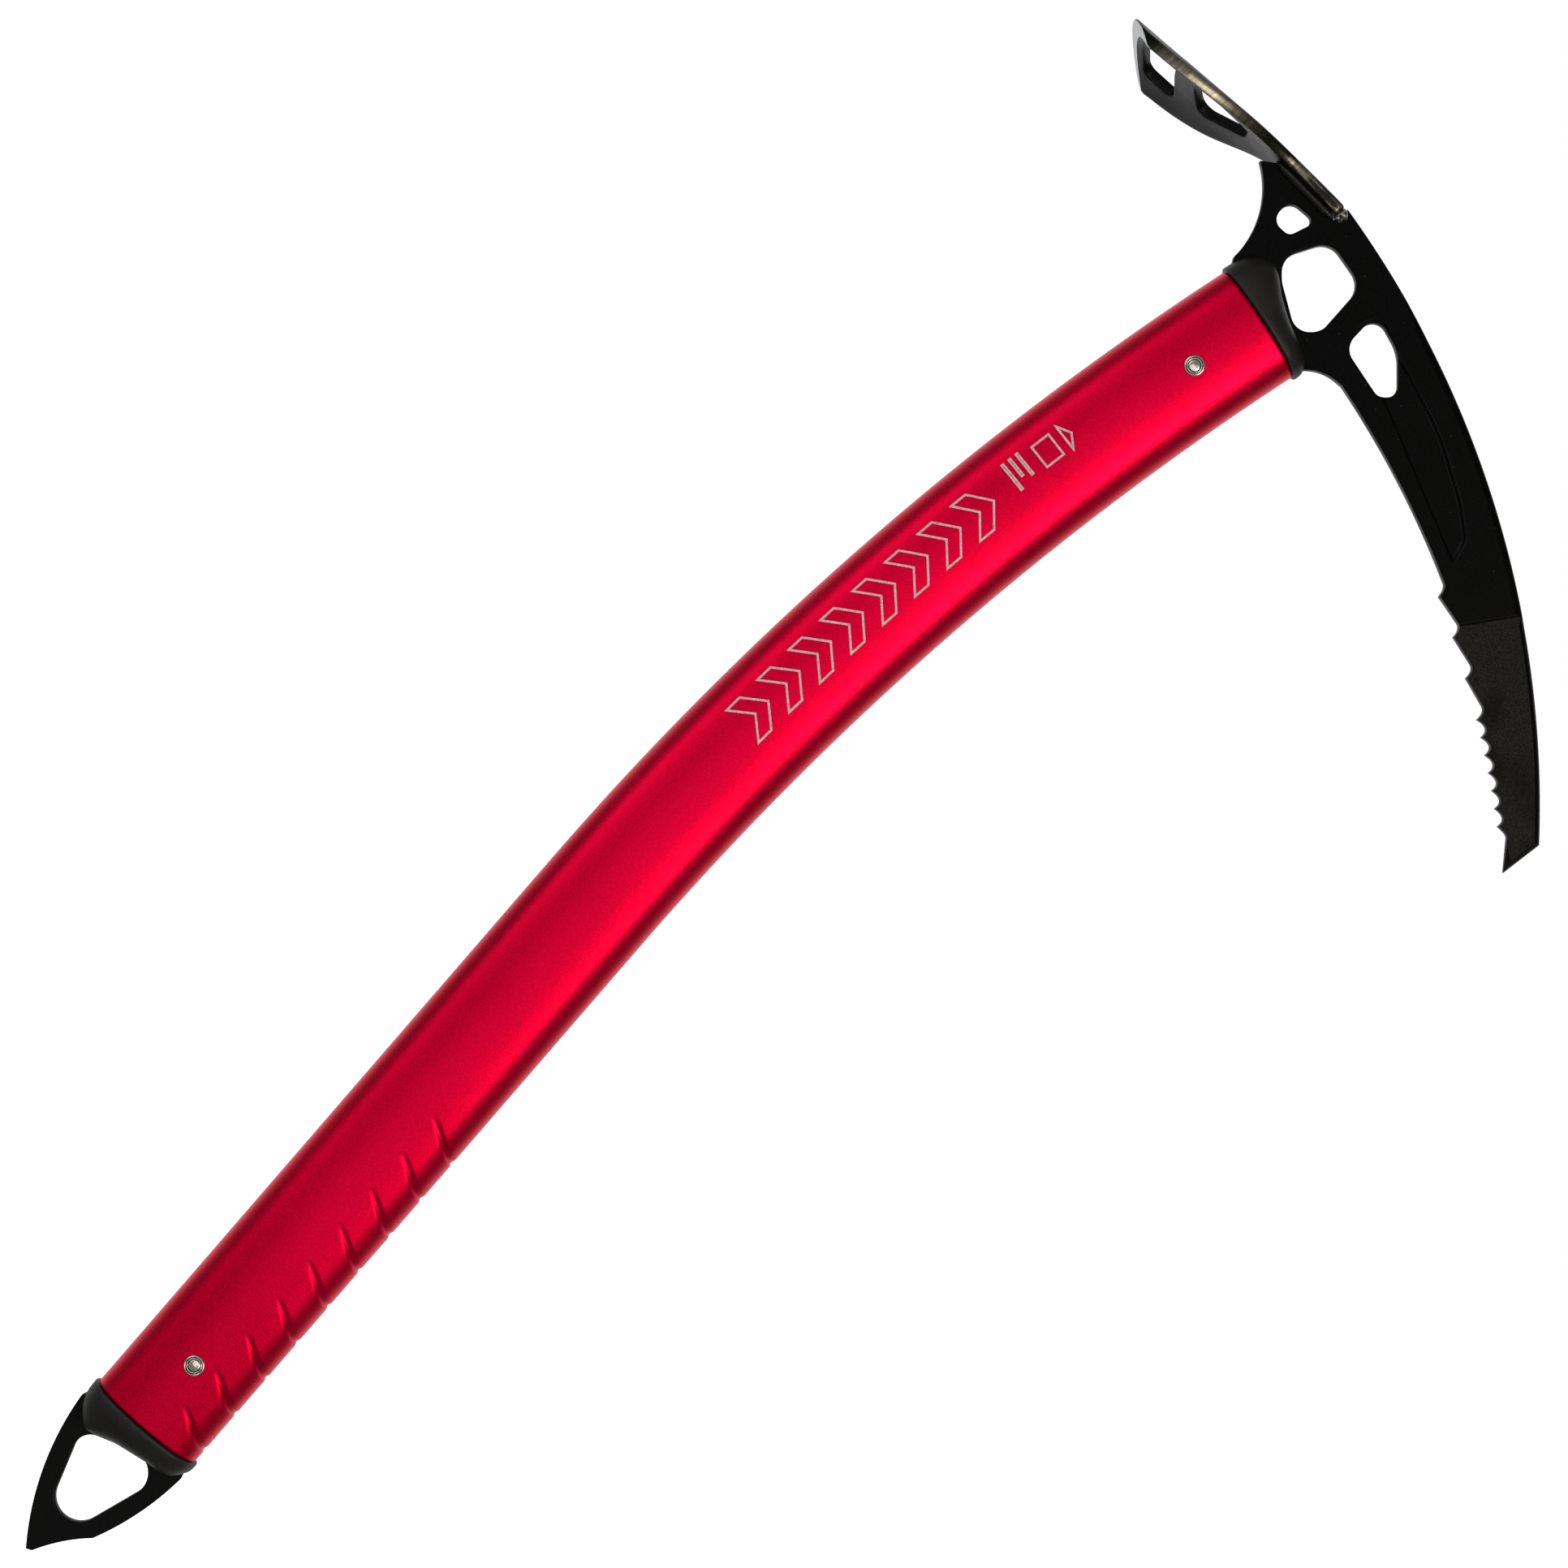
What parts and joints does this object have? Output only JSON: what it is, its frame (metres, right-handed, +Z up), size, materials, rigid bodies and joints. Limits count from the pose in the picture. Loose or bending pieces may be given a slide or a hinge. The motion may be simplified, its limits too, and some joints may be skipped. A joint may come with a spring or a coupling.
{
  "type": "ice axe",
  "caption": "Short mountaineering ice axe with a bent red oval shaft, a steel pick and adze at the head, and a pointed spike with an eye at the foot.",
  "frame": {"origin": "middle of the big eye in the head plate, half way through the plate's thickness", "axes": "+Z up the axe from the spike to the head, +X towards the pick, +Y through the head plate from its left face to its right face"},
  "size_m": [0.2089, 0.0454, 0.4502],
  "materials": {
    "coated_steel": "black baked coating over forged steel, satin",
    "weld_metal": "dull rippled weld bead under thin black coating",
    "anodised_shaft": "bead blasted and anodised red",
    "collar_plastic": "moulded nylon, satin black",
    "packer_plastic": "moulded nylon, grey",
    "rivet_metal": "nickel plated steel, tumbled"
  },
  "bodies": {
    "root": {"head_plate": "coated_steel", "adze_blade": "coated_steel", "adze_weld_left": "weld_metal", "adze_weld_right": "weld_metal", "adze_weld_end": "weld_metal", "shaft_tube": "anodised_shaft", "head_collar": "collar_plastic", "spike_collar": "collar_plastic", "head_packer_left": "packer_plastic", "head_packer_right": "packer_plastic", "spike_packer_left": "packer_plastic", "spike_packer_right": "packer_plastic", "spike_plate": "coated_steel", "head_rivet": "rivet_metal", "spike_rivet": "rivet_metal"}
  },
  "joints": []
}
